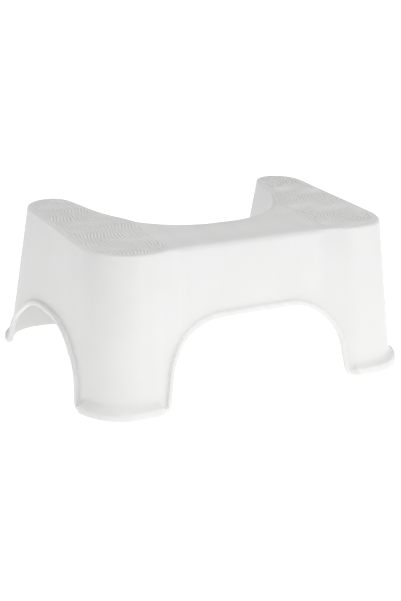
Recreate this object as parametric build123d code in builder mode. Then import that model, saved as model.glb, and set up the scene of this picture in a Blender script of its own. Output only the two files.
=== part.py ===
import os
from math import cos, pi, radians, sin, tan

from build123d import *

# A toilet footstool, in millimetres.
# X runs across the stool, Y runs from the front to the toilet side, Z is up.
# The origin is on the floor, under the middle of the stool.

# Driving sizes of the body, without the rim
body_height = 200.0
floor_front_width = 480.0
floor_rear_width = 486.0
floor_depth = 326.0
wall = 3.0

# How far each wall leans in between the floor and the top
front_lean = 37.5
rear_lean = 24.5
front_side_lean = 15.5
rear_side_lean = 22.5

# The front wall is set back between the two front legs
front_setback = 12.0
floor_front_leg_width = 84.0
top_front_leg_width = 78.5
floor_setback_run = 50.5
top_setback_run = 40.5

# The recess that goes round the toilet, with a horn each side of it
floor_horn_width = 100.0
top_horn_width = 63.0
recess_taper = 40.0
floor_recess_depth = 177.5
top_recess_depth = 168.0

# Plan rounds, each as a size at the floor and a size at the top
setback_round = 57.0
floor_front_corner_round = 59.0
top_front_corner_round = 56.0
floor_rear_corner_round = 57.0
top_rear_corner_round = 38.5
floor_mouth_round = 39.0
top_mouth_round = 29.0
floor_recess_round_share = 1.2
top_recess_round_share = 1.12
round_room_share = 0.98

# The rounded upper edge, and the bridge that lies a little below the platforms
top_edge_round = 4.0
bridge_drop = 1.6
bridge_inset = 13.5
bridge_slope_run = 16.0

# The rim that stands out along the arches
arch_rim_out = 5.0
arch_rim_width = 6.0

# The wider rim round the feet, and the S curve above it that ends in a small ledge on the wall
foot_rim_out = 8.5
foot_rim_height = 8.0
flare_height = 22.0
flare_ledge = 0.5
flare_steps = 4
foot_round = 6.0

# Each arch leaves a foot this long on both sides and rises to this height
front_foot_width = 101.0
front_arch_height = 105.5
side_foot_depth = 50.5
side_arch_height = 93.0
side_arch_centre_y = 3.7
horn_foot_depth = 79.0
recess_arch_height = 98.0

# Arch shapes: corner points as shares of half width and height, rounds as shares of half width
front_arch_shares = [(1, 0), (0.914, 0.668), (0.568, 1)]
front_arch_round_shares = [0.51, 0.62]
side_arch_shares = [(1, 0), (0.889, 0.5), (0.249, 1)]
side_arch_round_shares = [0.59, 0.78]
recess_arch_shares = [(1, 0), (0.923, 0.51), (0.54, 1)]
recess_arch_round_shares = [0.48, 0.8]

# Stiffening ribs under the top
rib_thickness = 2.0
rib_depth = 16.0
rib_pitch = 45.0
ribs_across = 9
ribs_along = 5

# Grip plugs under the feet
grip_proud = 1.2
grip_head_diameter = 7.0
grip_head_thickness = 2.2
grip_edge_round = 0.5
grip_stem_diameter = 4.0
grip_stem_length = 2.0
grip_head_gap = 0.3
grip_stem_gap = 0.25
grip_end_gap = 0.4
grip_setback = 3.3
front_side_grip_angle = -20.0
front_grip_angle = -70.0
rear_grip_angle = 40.0
mouth_grip_angle = 130.0

# One overrun for every cut that runs past the body
overrun = 20.0

# Heights and places that follow from the sizes above
body_floor = grip_proud
body_top = body_floor + body_height
cavity_top = body_top - bridge_drop - wall
seat_depth = grip_head_thickness - grip_proud
floor_front_y = -floor_depth / 2
floor_rear_y = floor_depth / 2
top_front_y = floor_front_y + front_lean
top_rear_y = floor_rear_y - rear_lean
floor_recess_y = floor_rear_y - floor_recess_depth
top_recess_y = top_rear_y - top_recess_depth

# Half widths at the floor and at the top
floor_front_half = floor_front_width / 2
top_front_half = floor_front_half - front_side_lean
floor_rear_half = floor_rear_width / 2
top_rear_half = floor_rear_half - rear_side_lean
floor_setback_half = floor_front_half - floor_front_leg_width
top_setback_half = top_front_half - top_front_leg_width
floor_mouth_half = floor_rear_half - floor_horn_width
top_mouth_half = top_rear_half - top_horn_width
floor_recess_half = floor_mouth_half - recess_taper
top_recess_half = top_mouth_half - recess_taper
bridge_half = top_recess_half - bridge_inset

# Half spans and middle of the arches
front_arch_half = floor_front_half - front_foot_width
side_arch_half = floor_rear_y - side_foot_depth
recess_arch_centre_y = (floor_recess_y + top_recess_y) / 2
recess_arch_half = floor_rear_y - horn_foot_depth - recess_arch_centre_y

# Where the cut of each arch begins
front_cut_y = top_recess_y - overrun
side_cut_x = top_mouth_half + overrun
recess_cut_half = top_rear_half - overrun

# Corner points of the right half of the plan, from the middle of the front round to the recess
floor_corners = [
    Vector(floor_setback_half - floor_setback_run, floor_front_y + front_setback),
    Vector(floor_setback_half, floor_front_y),
    Vector(floor_front_half, floor_front_y),
    Vector(floor_rear_half, floor_rear_y),
    Vector(floor_mouth_half, floor_rear_y),
    Vector(floor_recess_half, floor_recess_y),
]
top_corners = [
    Vector(top_setback_half - top_setback_run, top_front_y + front_setback),
    Vector(top_setback_half, top_front_y),
    Vector(top_front_half, top_front_y),
    Vector(top_rear_half, top_rear_y),
    Vector(top_mouth_half, top_rear_y),
    Vector(top_recess_half, top_recess_y),
]
floor_rounds = [
    setback_round,
    setback_round,
    floor_front_corner_round,
    floor_rear_corner_round,
    floor_mouth_round,
    floor_recess_half * floor_recess_round_share,
]
top_rounds = [
    setback_round,
    setback_round,
    top_front_corner_round,
    top_rear_corner_round,
    top_mouth_round,
    top_recess_half * top_recess_round_share,
]
# A bulging round grows when the outline moves out, a hollow one shrinks
bulge_signs = [-1, 1, 1, 1, 1, -1]
front_corner = 2
rear_corner = 3
mouth_corner = 4


def fitted_rounds(half_corners, half_rounds):
    """Rounds of the right half, made smaller where two would meet on the straight between."""
    corners = half_corners + [Vector(-corner.X, corner.Y) for corner in reversed(half_corners)]
    rounds = half_rounds + half_rounds[::-1]
    reaches = []
    for index, corner in enumerate(corners):
        before = corner - corners[index - 1]
        after = corners[(index + 1) % len(corners)] - corner
        reaches.append(rounds[index] * tan(radians(before.get_angle(after)) / 2))
    fitted = []
    for index, size in enumerate(half_rounds):
        shares = [1]
        for neighbour in (index - 1, index + 1):
            room = (corners[neighbour] - corners[index]).length * round_room_share
            shares.append(room / (reaches[index] + reaches[neighbour]))
        fitted.append(size * min(shares))
    return fitted


def moved_out(corners, distances):
    """The closed outline with each corner moved outward from the two straights beside it."""
    moved = []
    for index, corner in enumerate(corners):
        before = (corner - corners[index - 1]).normalized()
        after = (corners[(index + 1) % len(corners)] - corner).normalized()
        normals = Vector(before.Y, -before.X) + Vector(after.Y, -after.X)
        spread = 1 + before.dot(after)
        moved.append(corner + normals * (distances[index] / spread))
    return moved


def plan_outline(height, distance):
    """Corners and rounds of the body's plan at a height, moved outward by a distance."""
    rise = (height - body_floor) / body_height
    corners = [low + (high - low) * rise for low, high in zip(floor_corners, top_corners)]
    corners += [Vector(-corner.X, corner.Y) for corner in reversed(corners)]
    sizes = [low + (high - low) * rise for low, high in zip(fitted_floor_rounds, fitted_top_rounds)]
    rounds = [size + sign * distance for size, sign in zip(sizes, bulge_signs)]
    return moved_out(corners, [distance] * len(corners)), rounds + rounds[::-1]


def plan_face(height, distance):
    """The plan outline as a face at its height."""
    corners, rounds = plan_outline(height, distance)
    with BuildSketch(Plane.XY.offset(height)) as plan:
        with BuildLine():
            FilletPolyline(*corners, radius=rounds, close=True)
        make_face()
    return plan.sketch.face()


def wall_stack(levels):
    """A solid that runs straight from each (height, distance) outline to the next one up."""
    with BuildPart() as stack:
        for low, high in zip(levels, levels[1:]):
            loft([plan_face(*low), plan_face(*high)], ruled=True)
    return stack.part


def arch_face(plane, half, height, shares, round_shares, grown):
    """Face of an arch and the ground below it, grown by a distance."""
    reach = floor_front_width + floor_depth
    right = [Vector(reach, -reach), Vector(reach, body_floor)]
    right += [Vector(half * across, body_floor + height * up) for across, up in shares]
    left = [Vector(-point.X, point.Y) for point in reversed(right)]
    sizes = [0, 0, foot_round] + [half * share for share in round_shares]
    with BuildSketch(plane) as arch:
        with BuildLine():
            FilletPolyline(*right, *left, radius=sizes + sizes[::-1], close=True)
        make_face()
        if grown:
            offset(amount=grown)
    return arch.sketch.face()


def prism(face, amount):
    """A face pushed out along its normal."""
    with BuildPart() as block:
        extrude(face, amount=amount)
    return block.part


def arch_cuts(grown):
    """What the front, right, left and recess arches take away, each grown by a distance."""
    front_plane = Plane(origin=(0, front_cut_y, 0), x_dir=(1, 0, 0), z_dir=(0, -1, 0))
    side_plane = Plane(
        origin=(side_cut_x, side_arch_centre_y, 0), x_dir=(0, 1, 0), z_dir=(1, 0, 0)
    )
    recess_plane = Plane(
        origin=(-recess_cut_half, recess_arch_centre_y, 0), x_dir=(0, 1, 0), z_dir=(1, 0, 0)
    )
    front = arch_face(
        front_plane,
        front_arch_half,
        front_arch_height,
        front_arch_shares,
        front_arch_round_shares,
        grown,
    )
    side = arch_face(
        side_plane, side_arch_half, side_arch_height, side_arch_shares, side_arch_round_shares, grown
    )
    recess = arch_face(
        recess_plane,
        recess_arch_half,
        recess_arch_height,
        recess_arch_shares,
        recess_arch_round_shares,
        grown,
    )
    right_cut = prism(side, floor_rear_width)
    return [
        prism(front, floor_depth),
        right_cut,
        right_cut.mirror(Plane.YZ),
        prism(recess, 2 * recess_cut_half),
    ]


def shared_part(first, second):
    """The part that two solids have in common."""
    with BuildPart() as shared:
        add(first)
        add(second, mode=Mode.INTERSECT)
    return shared.part


def foot_rim_levels():
    """Outlines of the foot rim and of the S curve above it."""
    levels = [(body_floor, foot_rim_out)]
    for step in range(flare_steps + 1):
        share = step / flare_steps
        height = foot_rim_height + (flare_height - foot_rim_height) * share
        drop = (foot_rim_out - flare_ledge) * (1 - cos(pi * share)) / 2
        levels.append((body_floor + height, foot_rim_out - drop))
    return levels


def grip_places():
    """Name and place of each grip, set back from the outer edge of the foot rim."""
    corners, rounds = plan_outline(body_floor, 0)
    centres = moved_out(corners, [-size for size in rounds])
    out = foot_rim_out - grip_setback - grip_head_diameter / 2
    spots = [
        ("front", front_corner, front_grip_angle),
        ("front_side", front_corner, front_side_grip_angle),
        ("rear_side", rear_corner, rear_grip_angle),
        ("rear_mouth", mouth_corner, mouth_grip_angle),
    ]
    places = {}
    for name, corner, angle in spots:
        turn = radians(angle)
        arm = Vector(cos(turn), sin(turn)) * (rounds[corner] + out)
        place = centres[corner] + arm
        places[f"grip_right_{name}"] = (place.X, place.Y)
        places[f"grip_left_{name}"] = (-place.X, place.Y)
    return places


# The plan rounds that fit between their neighbours
fitted_floor_rounds = fitted_rounds(floor_corners, floor_rounds)
fitted_top_rounds = fitted_rounds(top_corners, top_rounds)

# Solids that the body is made from
straight_wall = wall_stack([(body_floor, 0), (body_top, 0)])
foot_rim = wall_stack(foot_rim_levels())
arch_rim_wall = wall_stack([(body_floor, arch_rim_out), (body_top, arch_rim_out)])
inside = wall_stack([(body_floor - overrun, -wall), (cavity_top, -wall)])
arch_openings = arch_cuts(0)
arch_rims = [shared_part(arch_rim_wall, zone) for zone in arch_cuts(arch_rim_width)]

# The hollow under the top, with the ribs left standing in it
with BuildPart() as cavity:
    add(inside)
    with BuildSketch(Plane.XY.offset(cavity_top - rib_depth)):
        with GridLocations(rib_pitch, 0, ribs_across, 1):
            Rectangle(rib_thickness, floor_depth)
        with GridLocations(0, rib_pitch, 1, ribs_along):
            Rectangle(floor_rear_width, rib_thickness)
    extrude(amount=rib_depth + overrun, mode=Mode.SUBTRACT)

# The body: platforms, bridge, walls, feet, rim and ribs in one moulding
with BuildPart() as stool_body:
    add(straight_wall)
    with BuildSketch(Plane.XZ):
        with BuildLine():
            Polyline(
                (-bridge_half - bridge_slope_run, body_top + bridge_drop),
                (-bridge_half - bridge_slope_run, body_top),
                (-bridge_half, body_top - bridge_drop),
                (bridge_half, body_top - bridge_drop),
                (bridge_half + bridge_slope_run, body_top),
                (bridge_half + bridge_slope_run, body_top + bridge_drop),
                close=True,
            )
        make_face()
    extrude(amount=floor_depth, both=True, mode=Mode.SUBTRACT)
    top_faces = stool_body.faces().filter_by(lambda face: face.center().Z > cavity_top)
    top_edges = [
        edge
        for edge in stool_body.edges()
        if edge.bounding_box().min.Z > cavity_top
        and sum(edge in face.edges() for face in top_faces) == 1
    ]
    fillet(top_edges, top_edge_round)
    add(foot_rim)
    for arch_rim in arch_rims:
        add(arch_rim)
    add(cavity.part, mode=Mode.SUBTRACT)
    for opening in arch_openings:
        add(opening, mode=Mode.SUBTRACT)
    for place in grip_places().values():
        with BuildSketch(Plane.XY.offset(body_floor)):
            with Locations(place):
                Circle(grip_head_diameter / 2 + grip_head_gap)
        extrude(amount=seat_depth, mode=Mode.SUBTRACT)
        with BuildSketch(Plane.XY.offset(body_floor)):
            with Locations(place):
                Circle(grip_stem_diameter / 2 + grip_stem_gap)
        extrude(amount=seat_depth + grip_stem_length + grip_end_gap, mode=Mode.SUBTRACT)
stool_body.part.label = "stool_body"

# The grips: a head that stands proud of the rim and a stem that goes into it
grips = {}
for name, place in grip_places().items():
    with BuildPart() as grip:
        with BuildSketch():
            with Locations(place):
                Circle(grip_head_diameter / 2)
        extrude(amount=grip_head_thickness)
        fillet(grip.edges().sort_by(Axis.Z)[0], grip_edge_round)
        with BuildSketch(Plane.XY.offset(grip_head_thickness)):
            with Locations(place):
                Circle(grip_stem_diameter / 2)
        extrude(amount=grip_stem_length)
    grip.part.label = name
    grips[name] = grip.part

os.makedirs("parts", exist_ok=True)
export_step(stool_body.part, "parts/stool_body.step")
for name, solid in grips.items():
    export_step(solid, f"parts/{name}.step")
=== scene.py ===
import math

import bmesh
import bpy
import numpy as np
from mathutils import Matrix, Vector
from mathutils.geometry import delaunay_2d_cdt


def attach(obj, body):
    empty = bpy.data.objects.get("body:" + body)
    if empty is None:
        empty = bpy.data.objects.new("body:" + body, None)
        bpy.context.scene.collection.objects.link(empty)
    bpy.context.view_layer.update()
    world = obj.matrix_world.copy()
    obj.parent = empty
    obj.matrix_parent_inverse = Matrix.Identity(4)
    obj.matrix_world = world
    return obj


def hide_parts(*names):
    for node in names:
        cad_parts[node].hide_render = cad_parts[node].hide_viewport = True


# A white plastic toilet footstool on a white floor.
# Sizes are in millimetres and are scaled to metres when a mesh is made.
# X runs across the stool, Y runs from the front to the toilet side, Z is up.

MM = 0.001
TINY = 1e-6

# Body without the rim, measured up from the underside of its feet
BODY_FLOOR = 1.2
BODY_HEIGHT = 200.0
FLOOR_FRONT_HALF = 240.0
FLOOR_REAR_HALF = 243.0
TOP_FRONT_HALF = 224.5
TOP_REAR_HALF = 220.5
FLOOR_FRONT_Y = -163.0
FLOOR_REAR_Y = 163.0
TOP_FRONT_Y = -125.5
TOP_REAR_Y = 138.5
WALL = 3.0
CAVITY_TOP = BODY_HEIGHT - 4.6

# Corner points of the right half of the plan: both ends of the slant to the set back front,
# the front and rear corners, and the mouth and bottom of the recess
FRONT_SETBACK = 12.0
FLOOR_CORNERS = [
    (105.5, FLOOR_FRONT_Y + FRONT_SETBACK),
    (156.0, FLOOR_FRONT_Y),
    (FLOOR_FRONT_HALF, FLOOR_FRONT_Y),
    (FLOOR_REAR_HALF, FLOOR_REAR_Y),
    (143.0, FLOOR_REAR_Y),
    (103.0, -14.5),
]
TOP_CORNERS = [
    (105.5, TOP_FRONT_Y + FRONT_SETBACK),
    (146.0, TOP_FRONT_Y),
    (TOP_FRONT_HALF, TOP_FRONT_Y),
    (TOP_REAR_HALF, TOP_REAR_Y),
    (157.5, TOP_REAR_Y),
    (117.5, -29.5),
]
FLOOR_ROUNDS = [57.0, 57.0, 59.0, 57.0, 39.0, 123.6]
TOP_ROUNDS = [57.0, 57.0, 56.0, 38.5, 29.0, 131.6]
OUTLINE_LINE_SAMPLES = 60
OUTLINE_ROUND_SAMPLES = 90

# Numbers of the outline's pieces, counted along it from the middle of the front
FRONT_CORNER = 5
SIDE_LINE = 6
REAR_LINE = 8
RECESS_LINE = 10
RECESS_MIDDLE_LINE = 12

# Upper edge, and the bridge that lies a little below the platforms
TOP_EDGE_ROUND = 4.0
BRIDGE_EDGE_ROUND = 8.0
BRIDGE_DROP = 1.6
BRIDGE_HALF = 102.0
BRIDGE_SLOPE_RUN = 20.0

# Arches. Corner shares are (share of the half width, share of the height) from the crown down,
# and round shares are shares of the half width.
FRONT_ARCH = {
    "half_width": 138.0,
    "height": 105.5,
    "corner_shares": [(0.568, 1), (0.914, 0.668), (1, 0)],
    "round_shares": [0.62, 0.51],
}
SIDE_ARCH = {
    "half_width": 110.0,
    "height": 87.5,
    "corner_shares": [(0.42, 1), (0.9, 0.5), (1, 0)],
    "round_shares": [0.9, 0.5],
}
SIDE_ARCH_CENTRE_Y = 6.2
RECESS_ARCH = {
    "half_width": 106.0,
    "height": 98.0,
    "corner_shares": [(0.54, 1), (0.923, 0.51), (1, 0)],
    "round_shares": [0.8, 0.48],
}
RECESS_ARCH_CENTRE_Y = -22.0
ARCH_STEP = 0.8

# Round between an arch and the underside of a foot. It is larger than the arch rim is wide,
# because the rim's rows would cross at the corner otherwise.
FOOT_ROUND = 9.0

# Rim along the arches, and the wider one round the feet with its soft S curve up to the wall:
# how far it stands out, the top of its flat face, its rounds, and the curve's lean in degrees
ARCH_RIM = {
    "out": 5.0,
    "face_top": 4.6,
    "inner": 3.0,
    "lower": 1.4,
    "upper": 1.6,
    "hollow": 1.2,
    "lean": 90.0,
}
FOOT_RIM = {
    "out": 8.5,
    "face_top": 8.5,
    "inner": 1.6,
    "lower": 1.4,
    "upper": 3.0,
    "hollow": 8.0,
    "lean": 65.0,
}
# Distance from a foot's end over which its rim takes the foot's section
FOOT_FADE = 10.0

# Mesh spacing. The blur of the top line reaches over some of its own widths to each side.
COLUMN_STEP = 1.4
TOP_LINE_SMOOTHING = 26.0
SMOOTHING_REACH = 4
WALL_ROWS = 26
WALL_ROW_EASE = 1.3
INNER_ROWS = 14
ROUND_ROWS = 7
TOP_GRID_X = 5.0
TOP_GRID_Y = 9.0
UNDERSIDE_GRID_FACTOR = 4
GRID_CLEARANCE_SHARE = 0.6
WELD_DISTANCE = 0.01
NORMAL_STEP = 1.5

# Ribs under the top
RIB_THICKNESS = 2.0
RIB_DEPTH = 16.0
RIB_PITCH = 45.0
RIB_EMBED = 0.4
RIB_BEVEL = 0.4
RIBS_ACROSS = 4
RIBS_ALONG = 2

# Wavy ridges moulded on the platforms
RIDGE_PITCH = 5.0
RIDGE_WIDTH = 3.0
RIDGE_HEIGHT = 0.75
RIDGE_STEP = 1.6
RIDGE_MARGIN = 3.5
RIDGE_INNER_LIMIT = 118.0
RIDGE_END_TAPER = 9.0
RIDGE_SINK = 0.15
RIDGE_SPARE_LINES = 3
RIDGE_LEAST_POINTS = 6
RIDGE_TIP_SHARE = 0.04
# Section of a ridge as (share of its width, share of its height)
RIDGE_SECTION_SHARES = [
    (0.5, 0.0),
    (0.32, 0.72),
    (0.12, 1.0),
    (-0.12, 1.0),
    (-0.32, 0.72),
    (-0.5, 0.0),
]
# Waves of a ridge: reach to the side, wave length along Y, and along X from ridge to ridge
SLOW_WAVE = (4.2, 92.0, 210.0)
QUICK_WAVE = (1.5, 37.0, -120.0)

# Colours between which each material drifts, and the plastic's way with light, its radius in metres
PLASTIC_COLOURS = ((0.79, 0.79, 0.785), (0.815, 0.815, 0.81))
PLASTIC_IOR = 1.49
PLASTIC_LIGHT_RADIUS = (0.008, 0.0078, 0.0074)
RUBBER_COLOURS = ((0.49, 0.49, 0.465), (0.53, 0.53, 0.50))
FLOOR_COLOURS = ((0.80, 0.80, 0.80), (0.82, 0.82, 0.82))
DRIFT_START = 0.3
DRIFT_END = 0.7
# The thin ridges let no light through, and their colour is painted lighter than the body's plastic, a
# painted light that offsets the shade falling on and between them
BODY_LIGHT_THROUGH = 0.5
RIDGE_PAINTED_LIGHT = 1.13

# Floor and light. The floor gives the stool its light, and shows its glow to the camera.
FLOOR_RADIUS = 9000.0
FLOOR_SEGMENTS = 96
FLOOR_GLOW = 0.75
FLOOR_LIGHT = 0.6
SKY_LIGHT = 0.36
LAMP_DISTANCE = 2600

# Camera: its place round a target, its tilt, and how far from the picture's middle the target is
VIEW_AZIMUTH = -31.045
VIEW_ELEVATION = 21.077
VIEW_ROLL = 3.333
VIEW_DISTANCE = 1720.25
VIEW_TARGET = (0.0, -14.3, 101.2)
VIEW_SHIFT_RIGHT = 13.49
VIEW_SHIFT_UP = 21.16
SENSOR_WIDTH = 36.0
VIEW_LENS = 74.475
NEAREST_SEEN = 50.0
FARTHEST_SEEN = 50000.0


def rounded_pieces(points, rounds):
    """Lines and rounds of an open path as (begin, end, centre); centre is None for a line."""
    pieces = []
    begin = np.array(points[0], float)
    for index, size in enumerate(rounds, start=1):
        corner = np.array(points[index], float)
        back = np.array(points[index - 1], float) - corner
        ahead = np.array(points[index + 1], float) - corner
        back /= np.linalg.norm(back)
        ahead /= np.linalg.norm(ahead)
        half_angle = math.acos(back @ ahead) / 2
        reach = size / math.tan(half_angle)
        bisector = (back + ahead) / np.linalg.norm(back + ahead)
        centre = corner + bisector * size / math.sin(half_angle)
        pieces.append((begin, corner + back * reach, None))
        pieces.append((corner + back * reach, corner + ahead * reach, centre))
        begin = corner + ahead * reach
    pieces.append((begin, np.array(points[-1], float), None))
    return pieces


def sampled(pieces, line_count, round_count):
    """The path's points, with the same number of samples on every line and every round."""
    samples = []
    for begin, end, centre in pieces:
        if centre is None:
            shares = np.arange(line_count)[:, None] / line_count
            samples.append(begin + (end - begin) * shares)
        else:
            first = math.atan2(*(begin - centre)[::-1])
            turn = math.atan2(*(end - centre)[::-1]) - first
            turn = (turn + math.pi) % (2 * math.pi) - math.pi
            angles = first + turn * np.arange(round_count) / round_count
            radius = np.linalg.norm(begin - centre)
            samples.append(centre + radius * np.c_[np.cos(angles), np.sin(angles)])
    samples.append(pieces[-1][1][None, :])
    return np.vstack(samples)


def path_length(points):
    """Length along the path at every point."""
    steps = np.linalg.norm(np.diff(points, axis=0), axis=1)
    return np.concatenate([[0.0], np.cumsum(steps)])


def outline_table(corners, rounds):
    """The right half of a plan outline from the middle of the front to the middle of the recess."""
    points = [(0.0, corners[0][1])] + corners + [(0.0, corners[-1][1])]
    return sampled(rounded_pieces(points, rounds), OUTLINE_LINE_SAMPLES, OUTLINE_ROUND_SAMPLES)


FLOOR_LINE = outline_table(FLOOR_CORNERS, FLOOR_ROUNDS)
TOP_LINE = outline_table(TOP_CORNERS, TOP_ROUNDS)
ALONG = path_length(FLOOR_LINE)


def line_point(along, height):
    """Plan point on the wall at a place along the outline and a height."""
    share = (height / BODY_HEIGHT)[:, None]
    floor = np.c_[np.interp(along, ALONG, FLOOR_LINE[:, 0]), np.interp(along, ALONG, FLOOR_LINE[:, 1])]
    top = np.c_[np.interp(along, ALONG, TOP_LINE[:, 0]), np.interp(along, ALONG, TOP_LINE[:, 1])]
    return floor + (top - floor) * share, top - floor


def wall_frame(along, height):
    """Point, tangent and outward normal of the wall, and how the tangent's length compares."""
    point, lean = line_point(along, height)
    ahead, _ = line_point(along + NORMAL_STEP, height)
    behind, _ = line_point(along - NORMAL_STEP, height)
    # Past either end of the half outline the point is the mirror image
    past = along + NORMAL_STEP > ALONG[-1]
    ahead[past, 0] = -behind[past, 0]
    ahead[past, 1] = behind[past, 1]
    before = along - NORMAL_STEP < 0
    behind[before, 0] = -ahead[before, 0]
    behind[before, 1] = ahead[before, 1]
    tangent = (ahead - behind) / (2 * NORMAL_STEP)
    stretch = np.linalg.norm(tangent, axis=1)
    tangent3 = np.c_[tangent, np.zeros(len(tangent))]
    upward = np.c_[lean / BODY_HEIGHT, np.ones(len(lean))]
    normal = np.cross(tangent3, upward)
    normal /= np.linalg.norm(normal, axis=1)[:, None]
    return np.c_[point, height], tangent3, normal, stretch


def wall_point(along, height, out):
    """Point at a level distance outward from the wall."""
    point, tangent, _, _ = wall_frame(along, height)
    outward = np.c_[tangent[:, 1], -tangent[:, 0], np.zeros(len(tangent))]
    outward /= np.linalg.norm(outward, axis=1)[:, None]
    return point + outward * np.asarray(out)[:, None]


def arch_half(arch):
    """Half of an arch from its crown to the floor as (distance from the middle, height) points."""
    half = arch["half_width"]
    height = arch["height"]
    points = [(0.0, height)]
    points += [(half * across, height * up) for across, up in arch["corner_shares"]]
    points.append((half + 2 * FOOT_ROUND, 0.0))
    rounds = [half * share for share in arch["round_shares"]] + [FOOT_ROUND]
    pieces = rounded_pieces(points, rounds)
    dense = sampled(pieces[:-1], OUTLINE_LINE_SAMPLES, OUTLINE_ROUND_SAMPLES)
    length = path_length(dense)
    stations = np.linspace(0, length[-1], round(length[-1] / ARCH_STEP))
    return np.c_[np.interp(stations, length, dense[:, 0]), np.interp(stations, length, dense[:, 1])]


def along_from(values, heights, axis, first, last):
    """Place along the outline where the wall has the given X or Y at each height."""
    window = slice(*sorted((first, last)))
    result = []
    for value, height in zip(values, heights):
        share = height / BODY_HEIGHT
        line = FLOOR_LINE[window, axis] + (TOP_LINE[window, axis] - FLOOR_LINE[window, axis]) * share
        places = ALONG[window]
        if line[-1] < line[0]:
            line = line[::-1]
            places = places[::-1]
        result.append(np.interp(value, line, places))
    return np.array(result)


def sample_index(piece):
    """Index in the outline tables where a piece begins; pieces alternate line, round, line."""
    lines = (piece + 1) // 2
    rounds = piece // 2
    return lines * OUTLINE_LINE_SAMPLES + rounds * OUTLINE_ROUND_SAMPLES


def hem_path():
    """The lower edge of the right half as (along, height) points, and the ends of its feet."""
    front = arch_half(FRONT_ARCH)
    side = arch_half(SIDE_ARCH)
    recess = arch_half(RECESS_ARCH)[::-1]
    front_along = along_from(front[:, 0], front[:, 1], 0, 0, sample_index(SIDE_LINE))
    side_offsets = np.concatenate([-side[::-1, 0], side[1:, 0]])
    side_heights = np.concatenate([side[::-1, 1], side[1:, 1]])
    side_along = along_from(
        SIDE_ARCH_CENTRE_Y + side_offsets,
        side_heights,
        1,
        sample_index(FRONT_CORNER),
        sample_index(REAR_LINE),
    )
    sloped = recess[:, 1] < RECESS_ARCH["height"] - TINY
    recess = recess[sloped]
    recess_along = along_from(
        RECESS_ARCH_CENTRE_Y + recess[:, 0],
        recess[:, 1],
        1,
        sample_index(RECESS_LINE),
        sample_index(RECESS_MIDDLE_LINE),
    )
    crown_along = np.arange(recess_along[-1] + ARCH_STEP, ALONG[-1], ARCH_STEP)
    crown_along = np.append(crown_along, ALONG[-1])
    front_foot = np.arange(front_along[-1] + ARCH_STEP, side_along[0], ARCH_STEP)
    rear_foot = np.arange(side_along[-1] + ARCH_STEP, recess_along[0], ARCH_STEP)
    along = np.concatenate(
        [front_along, front_foot, side_along, rear_foot, recess_along, crown_along]
    )
    height = np.concatenate(
        [
            front[:, 1],
            np.zeros(len(front_foot)),
            side_heights,
            np.zeros(len(rear_foot)),
            recess[:, 1],
            np.full(len(crown_along), RECESS_ARCH["height"]),
        ]
    )
    feet = [(front_along[-1], side_along[0]), (side_along[-1], recess_along[0])]
    return along, height, feet


def mirrored_smooth(values, sigma, step):
    """Values blurred along the hem, mirrored at both ends so that the ends keep still."""
    reach = int(SMOOTHING_REACH * sigma / step)
    start = 2 * values[0] - values[reach:0:-1]
    end = 2 * values[-1] - values[-2 : -reach - 2 : -1]
    padded = np.concatenate([start, values, end])
    offsets = np.arange(-reach, reach + 1) * step
    weights = np.exp(-0.5 * (offsets / sigma) ** 2)
    return np.convolve(padded, weights / weights.sum(), mode="valid")


def smooth_step(value):
    """A soft rise from 0 to 1 while the value goes from 0 to 1."""
    value = np.clip(value, 0, 1)
    return value * value * (3 - 2 * value)


def hem_columns():
    """Evenly spaced columns: hem place, direction into the plastic, top place and foot weight."""
    along, height, feet = hem_path()
    points, _, _, _ = wall_frame(along, height)
    length = path_length(points)
    count = round(length[-1] / COLUMN_STEP)
    stations = np.linspace(0, length[-1], count + 1)
    along = np.interp(stations, length, along)
    height = np.interp(stations, length, height)
    _, _, _, stretch = wall_frame(along, height)
    run = np.gradient(along) * stretch
    rise = np.gradient(height)
    size = np.hypot(run, rise)
    # Turned a quarter from the hem's direction, so that it points into the plastic
    into_along = -rise / size / stretch
    into_height = run / size
    top_along = mirrored_smooth(along, TOP_LINE_SMOOTHING, COLUMN_STEP)
    top_along = np.clip(top_along, 0, ALONG[-1])
    foot = np.zeros(len(along))
    for first, last in feet:
        nearest = np.minimum(along - first, last - along)
        foot = np.maximum(foot, smooth_step(nearest / FOOT_FADE))
    return along, height, into_along, into_height, top_along, foot


def bridge_drop(x):
    """How far the top lies below the platforms at a distance from the middle."""
    return BRIDGE_DROP * (1 - smooth_step((np.abs(x) - BRIDGE_HALF) / BRIDGE_SLOPE_RUN))


def rim_section(out, face_top, inner, lower, upper, hollow, lean):
    """Points of (distance into the plastic, distance outward) round the rim, inside to outside."""
    turn = math.radians(lean)
    straight = (out - (upper + hollow) * (1 - math.cos(turn))) / math.sin(turn)
    end = face_top + (upper + hollow) * math.sin(turn) + straight * math.cos(turn)
    points = []
    for angle in np.linspace(0, math.pi / 2, ROUND_ROWS):
        points.append((inner * (1 - math.sin(angle)), -WALL + inner * (1 - math.cos(angle))))
    for angle in np.linspace(0, math.pi / 2, ROUND_ROWS - 2):
        points.append((lower * (1 - math.cos(angle)), out - lower * (1 - math.sin(angle))))
    for angle in np.linspace(0, turn, ROUND_ROWS):
        points.append((face_top + upper * math.sin(angle), out - upper * (1 - math.cos(angle))))
    for angle in np.linspace(turn, 0, ROUND_ROWS + 2):
        points.append((end - hollow * math.sin(angle), hollow * (1 - math.cos(angle))))
    return np.array(points)


def rim_profile(foot):
    """The rim's rows at each column, blended between the arch's section and the foot's."""
    arch_section = rim_section(**ARCH_RIM)
    foot_section = rim_section(**FOOT_RIM)
    return [
        [low + (high - low) * foot for low, high in zip(arch_point, foot_point)]
        for arch_point, foot_point in zip(arch_section, foot_section)
    ]


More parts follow.
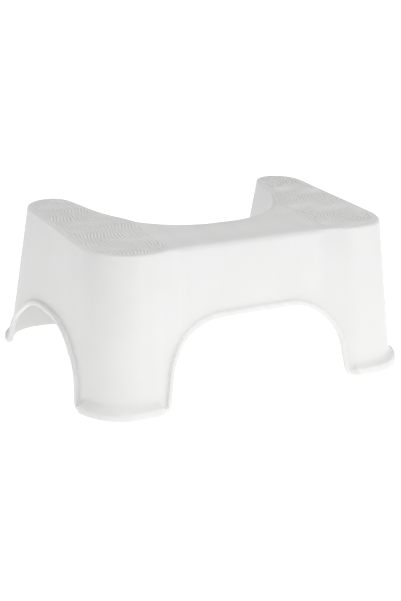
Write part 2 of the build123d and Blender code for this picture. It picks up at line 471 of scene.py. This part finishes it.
def inner_rows(columns):
    """Rows up the inside of the wall, from the top down to where the rim begins."""
    along, height, into_along, into_height, top_along, foot = columns
    into, _ = rim_profile(foot)[0]
    start_along = along + into_along * into
    start_height = height + into_height * into
    rows = []
    for share in np.linspace(1, 0, INNER_ROWS, endpoint=False):
        row_along = start_along + (top_along - start_along) * share
        row_height = start_height + (CAVITY_TOP - start_height) * share
        rows.append(wall_point(row_along, row_height, np.full(len(along), -WALL)))
    return rows


def rim_rows(columns):
    """Rows round the rim."""
    along, height, into_along, into_height, _, foot = columns
    rows = []
    for into, out in rim_profile(foot):
        rows.append(wall_point(along + into_along * into, height + into_height * into, out))
    return rows


def outer_rows(columns):
    """Rows up the outside of the wall and over the rounded upper edge."""
    along, height, into_along, into_height, top_along, foot = columns
    into, _ = rim_profile(foot)[-1]
    start_along = along + into_along * into
    start_height = height + into_height * into
    edge_height = np.full(len(along), BODY_HEIGHT)
    edge_point, _ = line_point(top_along, edge_height)
    edge_height = BODY_HEIGHT - bridge_drop(edge_point[:, 0])
    edge, _, normal, _ = wall_frame(top_along, edge_height)
    tilt = np.arcsin(normal[:, 2])
    on_bridge = bridge_drop(edge_point[:, 0]) / BRIDGE_DROP
    size = TOP_EDGE_ROUND + (BRIDGE_EDGE_ROUND - TOP_EDGE_ROUND) * on_bridge
    reach = size * np.tan((math.pi / 2 - tilt) / 2)
    wall_end = edge_height - size * (1 - np.sin(tilt))
    rows = []
    for step in range(1, WALL_ROWS + 1):
        share = (step / WALL_ROWS) ** WALL_ROW_EASE
        row_along = start_along + (top_along - start_along) * share
        row_height = start_height + (wall_end - start_height) * share
        rows.append(wall_point(row_along, row_height, np.zeros(len(along))))
    level = np.c_[normal[:, :2], np.zeros(len(along))]
    level /= np.linalg.norm(level, axis=1)[:, None]
    upward = np.array([0.0, 0.0, 1.0])
    for step in range(1, ROUND_ROWS + 2):
        angle = tilt + (math.pi / 2 - tilt) * step / (ROUND_ROWS + 1)
        outward = -reach + size * np.cos(angle)
        lift = -size + size * np.sin(angle)
        rows.append(edge + level * outward[:, None] + upward * lift[:, None])
    return rows


def whole_row(row):
    """The row's right half joined to its mirror image, as one closed ring."""
    left = row[-2:0:-1] * np.array([-1.0, 1.0, 1.0])
    return np.vstack([row, left])


def filled_ring(ring, height_at, spacing_x, spacing_y):
    """Vertices and triangles that fill a ring seen from above, with a grid of points inside."""
    outline = [Vector((x, y)) for x, y, _ in ring]
    xs = np.arange(ring[:, 0].min(), ring[:, 0].max(), spacing_x)
    ys = np.arange(ring[:, 1].min(), ring[:, 1].max(), spacing_y)
    grid = np.array([(x, y) for x in xs for y in ys])
    gap = GRID_CLEARANCE_SHARE * min(spacing_x, spacing_y)
    grid = grid[deep_inside(grid, ring[:, :2], gap)]
    points = outline + [Vector(point) for point in grid]
    edges = [(i, (i + 1) % len(outline)) for i in range(len(outline))]
    vertices, _, faces, _, _, _ = delaunay_2d_cdt(points, edges, [], 1, TINY)
    flat = np.array([(v.x, v.y) for v in vertices])
    return np.c_[flat, height_at(flat[:, 0])], faces


def deep_inside(points, ring, depth):
    """Which points lie inside the ring and at least a depth from it."""
    start = ring
    end = np.roll(ring, -1, axis=0)
    keep = np.zeros(len(points), bool)
    for index, (x, y) in enumerate(points):
        crosses = (start[:, 1] > y) != (end[:, 1] > y)
        rise = np.where(crosses, end[:, 1] - start[:, 1], 1.0)
        at_x = start[:, 0] + (y - start[:, 1]) / rise * (end[:, 0] - start[:, 0])
        inside = np.count_nonzero(crosses & (x < at_x)) % 2 == 1
        if inside:
            distance = np.hypot(start[:, 0] - x, start[:, 1] - y).min()
            keep[index] = distance > depth
    return keep


def make_object(name, vertices, faces, material):
    """A smooth shaded mesh object from millimetre vertices measured from the body's underside."""
    points = np.asarray(vertices, float) + np.array([0.0, 0.0, BODY_FLOOR])
    mesh = bpy.data.meshes.new(name)
    mesh.from_pydata((points * MM).tolist(), [], faces)
    mesh.materials.append(material)
    mesh.polygons.foreach_set("use_smooth", [True] * len(mesh.polygons))
    mesh.update()
    thing = bpy.data.objects.new(name, mesh)
    bpy.context.scene.collection.objects.link(thing)
    return thing


def stool_shell(material):
    """Walls, rim, upper edge and top as one closed skin, and the ring where the flat top begins."""
    columns = hem_columns()
    rows = inner_rows(columns) + rim_rows(columns) + outer_rows(columns)
    rings = [whole_row(row) for row in rows]
    size = len(rings[0])
    vertices = np.vstack(rings)
    faces = []
    for level in range(len(rings) - 1):
        for i in range(size):
            j = (i + 1) % size
            low = level * size
            high = low + size
            faces.append((low + i, low + j, high + j, high + i))
    top, top_faces = filled_ring(
        rings[-1], lambda x: BODY_HEIGHT - bridge_drop(x), TOP_GRID_X, TOP_GRID_Y
    )
    under, under_faces = filled_ring(
        rings[0],
        lambda x: np.full(len(x), CAVITY_TOP),
        TOP_GRID_X * UNDERSIDE_GRID_FACTOR,
        TOP_GRID_Y * UNDERSIDE_GRID_FACTOR,
    )
    base = len(vertices)
    faces += [tuple(base + i for i in face) for face in top_faces]
    base += len(top)
    faces += [tuple(base + i for i in reversed(face)) for face in under_faces]
    shell = make_object("stool_shell", np.vstack([vertices, top, under]), faces, material)
    weld = bmesh.new()
    weld.from_mesh(shell.data)
    bmesh.ops.remove_doubles(weld, verts=weld.verts, dist=WELD_DISTANCE * MM)
    weld.to_mesh(shell.data)
    weld.free()
    return shell, rings[-1]


def crossings(ring, axis, place):
    """Where a closed ring crosses the line with the given X or Y, in order."""
    ends = np.roll(ring, -1, axis=0)
    found = []
    for (ax, ay, _), (bx, by, _) in zip(ring, ends):
        a = (ax, ay)
        b = (bx, by)
        if (a[axis] > place) != (b[axis] > place):
            share = (place - a[axis]) / (b[axis] - a[axis])
            found.append(a[1 - axis] + (b[1 - axis] - a[1 - axis]) * share)
    return sorted(found)


def inner_ring(height):
    """The inside outline of the walls at a height."""
    along = np.linspace(0, ALONG[-1], len(ALONG))
    return whole_row(wall_point(along, np.full(len(along), height), np.full(len(along), -WALL)))


def rib_section():
    """Section of a rib as (distance across, share of its depth, lift)."""
    half = RIB_THICKNESS / 2
    return [
        (-half, 1.0, RIB_EMBED),
        (-half, 0.0, RIB_BEVEL),
        (RIB_BEVEL - half, 0.0, 0.0),
        (half - RIB_BEVEL, 0.0, 0.0),
        (half, 0.0, RIB_BEVEL),
        (half, 1.0, RIB_EMBED),
    ]


def plate_faces(base, count):
    """Faces of a plate between two sections, whose vertices are numbered from a base."""
    faces = []
    for i in range(count):
        j = (i + 1) % count
        faces.append((base + i, base + j, base + count + j, base + count + i))
    faces.append(tuple(base + i for i in range(count)))
    faces.append(tuple(base + count + i for i in reversed(range(count))))
    return faces


def underside_ribs(material):
    """Plates that cross under the top from wall to wall."""
    low = CAVITY_TOP - RIB_DEPTH
    low_ring = inner_ring(low)
    high_ring = inner_ring(CAVITY_TOP)
    section = rib_section()
    vertices = []
    faces = []
    lines = [(0, RIB_PITCH * i) for i in range(-RIBS_ACROSS, RIBS_ACROSS + 1)]
    lines += [(1, RIB_PITCH * i) for i in range(-RIBS_ALONG, RIBS_ALONG + 1)]
    for axis, place in lines:
        low_ends = crossings(low_ring, axis, place)
        high_ends = crossings(high_ring, axis, place)
        for begin in range(0, len(high_ends), 2):
            faces += plate_faces(len(vertices), len(section))
            for side, sign in ((begin, -1), (begin + 1, 1)):
                for across, up, lift in section:
                    reach = low_ends[side] + (high_ends[side] - low_ends[side]) * up
                    point = [0.0, 0.0, low + RIB_DEPTH * up + lift]
                    point[axis] = place + across
                    point[1 - axis] = reach + sign * RIB_EMBED
                    vertices.append(point)
    ribs = make_object("underside_ribs", vertices, faces, material)
    ribs.data.polygons.foreach_set("use_smooth", [False] * len(ribs.data.polygons))
    return ribs


def wave(x, y, reach, length, spread):
    """Sideways sway at Y of a ridge that starts at X."""
    return reach * np.sin(2 * math.pi * (y / length + x / spread))


def ridge_lines(outline):
    """Middle lines of the right platform's ridges, kept clear of the upper edge."""
    lines = []
    ys = np.arange(outline[:, 1].min(), outline[:, 1].max(), RIDGE_STEP)
    first = RIDGE_INNER_LIMIT - RIDGE_SPARE_LINES * RIDGE_PITCH
    for x in np.arange(first, outline[:, 0].max(), RIDGE_PITCH):
        sway = wave(x, ys, *SLOW_WAVE) + wave(x, ys, *QUICK_WAVE)
        line = np.c_[x + sway, ys]
        keep = deep_inside(line, outline, RIDGE_MARGIN) & (line[:, 0] > RIDGE_INNER_LIMIT)
        edges = np.nonzero(np.diff(np.concatenate([[0], keep.astype(int), [0]])))[0]
        for begin, end in edges.reshape(-1, 2):
            if end - begin >= RIDGE_LEAST_POINTS:
                lines.append(line[begin:end])
    return lines


def ridge_points(line):
    """Sections along a ridge, which swells from its tips to its full width and height."""
    ahead = np.gradient(line, axis=0)
    ahead /= np.linalg.norm(ahead, axis=1)[:, None]
    side = np.c_[ahead[:, 1], -ahead[:, 0]]
    place = path_length(line)
    ends = np.minimum(place, place[-1] - place) / RIDGE_END_TAPER
    swell = np.sqrt(np.clip(1 - (1 - np.clip(ends, RIDGE_TIP_SHARE, 1)) ** 2, 0, 1))
    points = []
    for i, middle in enumerate(line):
        for across, up in RIDGE_SECTION_SHARES:
            x, y = middle + side[i] * across * RIDGE_WIDTH * swell[i]
            z = BODY_HEIGHT - RIDGE_SINK + (RIDGE_SINK + RIDGE_HEIGHT * swell[i]) * up
            points.append((x, y, z))
    return points


def ridge_faces(base, sections, count):
    """Faces of a closed ridge, whose vertices are numbered from a base."""
    last = base + (sections - 1) * count
    faces = [tuple(base + j for j in range(count))]
    faces.append(tuple(last + j for j in reversed(range(count))))
    for i in range(sections - 1):
        for j in range(count):
            low = base + i * count + j
            side_low = base + i * count + (j + 1) % count
            faces.append((low, low + count, side_low + count, side_low))
    return faces


def platform_ridges(ring, material):
    """Low wavy ridges on both platforms."""
    vertices = []
    faces = []
    for line in ridge_lines(ring[:, :2]):
        points = ridge_points(line)
        for mirror in (1, -1):
            skin = ridge_faces(len(vertices), len(line), len(RIDGE_SECTION_SHARES))
            faces += [face[::mirror] for face in skin]
            vertices += [(mirror * x, y, z) for x, y, z in points]
    return make_object("platform_ridges", vertices, faces, material)


def new_material(name):
    """A material, its node tree and its Principled shader."""
    material = bpy.data.materials.new(name)
    material.use_nodes = True
    tree = material.node_tree
    return material, tree, tree.nodes["Principled BSDF"]


def noise(tree, scale, detail, roughness):
    """Noise in the object's own space, in features per metre."""
    place = tree.nodes.new("ShaderNodeTexCoord")
    texture = tree.nodes.new("ShaderNodeTexNoise")
    texture.inputs["Scale"].default_value = scale
    texture.inputs["Detail"].default_value = detail
    texture.inputs["Roughness"].default_value = roughness
    tree.links.new(place.outputs["Object"], texture.inputs["Vector"])
    return texture


def ranged(tree, source, low, high):
    """The source's 0 to 1 output spread over another range."""
    spread = tree.nodes.new("ShaderNodeMapRange")
    spread.inputs["To Min"].default_value = low
    spread.inputs["To Max"].default_value = high
    tree.links.new(source.outputs[0], spread.inputs["Value"])
    return spread


def bumped(tree, shader, layers):
    """Bumps of several sizes on top of each other: (texture, strength, distance in metres)."""
    below = None
    for texture, strength, distance in layers:
        bump = tree.nodes.new("ShaderNodeBump")
        bump.inputs["Strength"].default_value = strength
        bump.inputs["Distance"].default_value = distance
        tree.links.new(texture.outputs[0], bump.inputs["Height"])
        if below:
            tree.links.new(below.outputs["Normal"], bump.inputs["Normal"])
        below = bump
    tree.links.new(below.outputs["Normal"], shader.inputs["Normal"])


def colour_mixed(tree, shader, factor, first, second):
    """Base colour that drifts between two colours."""
    ramp = tree.nodes.new("ShaderNodeValToRGB")
    ramp.color_ramp.elements[0].position = DRIFT_START
    ramp.color_ramp.elements[1].position = DRIFT_END
    ramp.color_ramp.elements[0].color = (*first, 1)
    ramp.color_ramp.elements[1].color = (*second, 1)
    tree.links.new(factor.outputs[0], ramp.inputs["Fac"])
    tree.links.new(ramp.outputs["Color"], shader.inputs["Base Color"])


def white_plastic(name, light_through, painted_light_factor):
    """Satin white polypropylene with a fine moulded grain and faint flow marks."""
    material, tree, shader = new_material(name)
    cloud = noise(tree, scale=14.0, detail=3.0, roughness=0.5)
    grain = noise(tree, scale=1500.0, detail=2.0, roughness=0.55)
    flow = noise(tree, scale=60.0, detail=2.0, roughness=0.5)
    # A factor above 1 paints light into the colour: the ridges use it to offset the shade that falls
    # between them
    dark, light = (tuple(painted_light_factor * value for value in colour) for colour in PLASTIC_COLOURS)
    colour_mixed(tree, shader, cloud, dark, light)
    rough = ranged(tree, flow, low=0.36, high=0.46)
    tree.links.new(rough.outputs["Result"], shader.inputs["Roughness"])
    bumped(tree, shader, [(flow, 0.05, 0.0006), (grain, 0.12, 0.00012)])
    shader.inputs["IOR"].default_value = PLASTIC_IOR
    shader.inputs["Subsurface Weight"].default_value = light_through
    shader.inputs["Subsurface Radius"].default_value = PLASTIC_LIGHT_RADIUS
    shader.inputs["Subsurface Scale"].default_value = 1.0
    return material


def pale_rubber():
    """Matt off-white rubber with a fine pebbled skin and scuffs."""
    material, tree, shader = new_material("pale_rubber")
    pebbles = noise(tree, scale=2600.0, detail=3.0, roughness=0.6)
    scuffs = noise(tree, scale=320.0, detail=4.0, roughness=0.6)
    colour_mixed(tree, shader, scuffs, *RUBBER_COLOURS)
    rough = ranged(tree, scuffs, low=0.7, high=0.88)
    tree.links.new(rough.outputs["Result"], shader.inputs["Roughness"])
    bumped(tree, shader, [(pebbles, 0.3, 0.0001)])
    return material


def white_floor():
    """A floor that shows white to the camera and still takes the stool's shadow."""
    material, tree, shader = new_material("white_floor")
    speck = noise(tree, scale=9.0, detail=2.0, roughness=0.5)
    colour_mixed(tree, shader, speck, *FLOOR_COLOURS)
    shader.inputs["Roughness"].default_value = 0.9
    shader.inputs["Specular IOR Level"].default_value = 0.2
    path = tree.nodes.new("ShaderNodeLightPath")
    seen = tree.nodes.new("ShaderNodeMath")
    seen.operation = "MAXIMUM"
    tree.links.new(path.outputs["Is Camera Ray"], seen.inputs[0])
    tree.links.new(path.outputs["Is Glossy Ray"], seen.inputs[1])
    strength = ranged(tree, seen, low=FLOOR_LIGHT, high=FLOOR_GLOW)
    glow = tree.nodes.new("ShaderNodeEmission")
    both = tree.nodes.new("ShaderNodeAddShader")
    tree.links.new(strength.outputs["Result"], glow.inputs["Strength"])
    tree.links.new(shader.outputs["BSDF"], both.inputs[0])
    tree.links.new(glow.outputs["Emission"], both.inputs[1])
    tree.links.new(both.outputs["Shader"], tree.nodes["Material Output"].inputs["Surface"])
    return material


def make_floor():
    """A round floor, wide enough for every view."""
    mesh = bpy.data.meshes.new("floor")
    disc = bmesh.new()
    bmesh.ops.create_circle(disc, cap_ends=True, segments=FLOOR_SEGMENTS, radius=FLOOR_RADIUS * MM)
    disc.to_mesh(mesh)
    disc.free()
    mesh.materials.append(white_floor())
    floor = bpy.data.objects.new("floor", mesh)
    bpy.context.scene.collection.objects.link(floor)
    return floor


def light_world():
    """A plain sky: white to the camera, and a softer grey as light and in reflections."""
    world = bpy.data.worlds.new("studio")
    bpy.context.scene.world = world
    world.use_nodes = True
    tree = world.node_tree
    background = tree.nodes["Background"]
    background.inputs["Color"].default_value = (1, 1, 1, 1)
    path = tree.nodes.new("ShaderNodeLightPath")
    strength = tree.nodes.new("ShaderNodeMapRange")
    strength.inputs["To Min"].default_value = SKY_LIGHT
    strength.inputs["To Max"].default_value = 1.0
    tree.links.new(path.outputs["Is Camera Ray"], strength.inputs["Value"])
    tree.links.new(strength.outputs["Result"], background.inputs["Strength"])


def soft_lamp(name, azimuth, elevation, size, power):
    """A square lamp that points at the stool from a direction given in degrees."""
    data = bpy.data.lights.new(name, "AREA")
    data.shape = "SQUARE"
    data.size = size * MM
    data.energy = power
    turn = math.radians(azimuth)
    rise = math.radians(elevation)
    level = math.cos(rise)
    away = Vector((math.sin(turn) * level, -math.cos(turn) * level, math.sin(rise)))
    lamp = bpy.data.objects.new(name, data)
    lamp.location = (Vector((0, 0, BODY_HEIGHT / 2)) + away * LAMP_DISTANCE) * MM
    lamp.rotation_mode = "QUATERNION"
    lamp.rotation_quaternion = (-away).to_track_quat("-Z", "Y")
    bpy.context.scene.collection.objects.link(lamp)


def make_camera():
    """The camera at the photograph's angle, height, tilt and distance."""
    turn = math.radians(VIEW_AZIMUTH)
    rise = math.radians(VIEW_ELEVATION)
    roll = math.radians(VIEW_ROLL)
    level = math.cos(rise)
    back = Vector((math.sin(turn) * level, -math.cos(turn) * level, math.sin(rise)))
    right = Vector((math.cos(turn), math.sin(turn), 0))
    up = back.cross(right)
    right, up = (
        right * math.cos(roll) + up * math.sin(roll),
        up * math.cos(roll) - right * math.sin(roll),
    )
    place = Vector(VIEW_TARGET) + back * VIEW_DISTANCE
    place -= right * VIEW_SHIFT_RIGHT + up * VIEW_SHIFT_UP
    data = bpy.data.cameras.new("photo_camera")
    data.sensor_width = SENSOR_WIDTH
    data.lens = VIEW_LENS
    data.clip_start = NEAREST_SEEN * MM
    data.clip_end = FARTHEST_SEEN * MM
    camera = bpy.data.objects.new("photo_camera", data)
    axes = Matrix((right, up, back)).transposed().to_4x4()
    camera.matrix_world = Matrix.Translation(place * MM) @ axes
    bpy.context.scene.collection.objects.link(camera)
    bpy.context.scene.camera = camera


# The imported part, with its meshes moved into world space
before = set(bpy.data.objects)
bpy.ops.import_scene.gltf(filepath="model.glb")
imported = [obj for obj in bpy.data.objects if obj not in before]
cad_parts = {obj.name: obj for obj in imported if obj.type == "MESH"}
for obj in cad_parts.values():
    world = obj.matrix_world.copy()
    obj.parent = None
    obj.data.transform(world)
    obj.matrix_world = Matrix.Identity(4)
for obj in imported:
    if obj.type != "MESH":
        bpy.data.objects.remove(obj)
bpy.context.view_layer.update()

# The stool's body, and the grips that keep their own shape
plastic = white_plastic("white_plastic", light_through=BODY_LIGHT_THROUGH, painted_light_factor=1.0)
# The ridges are the body's own plastic, coloured lighter as painted light against the shade between
# them
ridge_plastic_painted_lighter = white_plastic("ridge_plastic_painted_lighter", light_through=0.0, painted_light_factor=RIDGE_PAINTED_LIGHT)
rubber = pale_rubber()
shell, top_ring = stool_shell(plastic)
body_pieces = [shell, platform_ridges(top_ring, ridge_plastic_painted_lighter), underside_ribs(plastic)]
for piece in body_pieces:
    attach(piece, "root")
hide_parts("stool_body")
for name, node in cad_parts.items():
    if name.startswith("grip_"):
        node.data.materials.clear()
        node.data.materials.append(rubber)

# Camera, floor and light
make_camera()
make_floor()
light_world()
soft_lamp("right_softbox", azimuth=35, elevation=10, size=2200, power=18)
soft_lamp("left_softbox", azimuth=-30, elevation=8, size=2200, power=5)
soft_lamp("top_softbox", azimuth=-20, elevation=75, size=1800, power=29)
bpy.context.scene.view_settings.view_transform = "Standard"
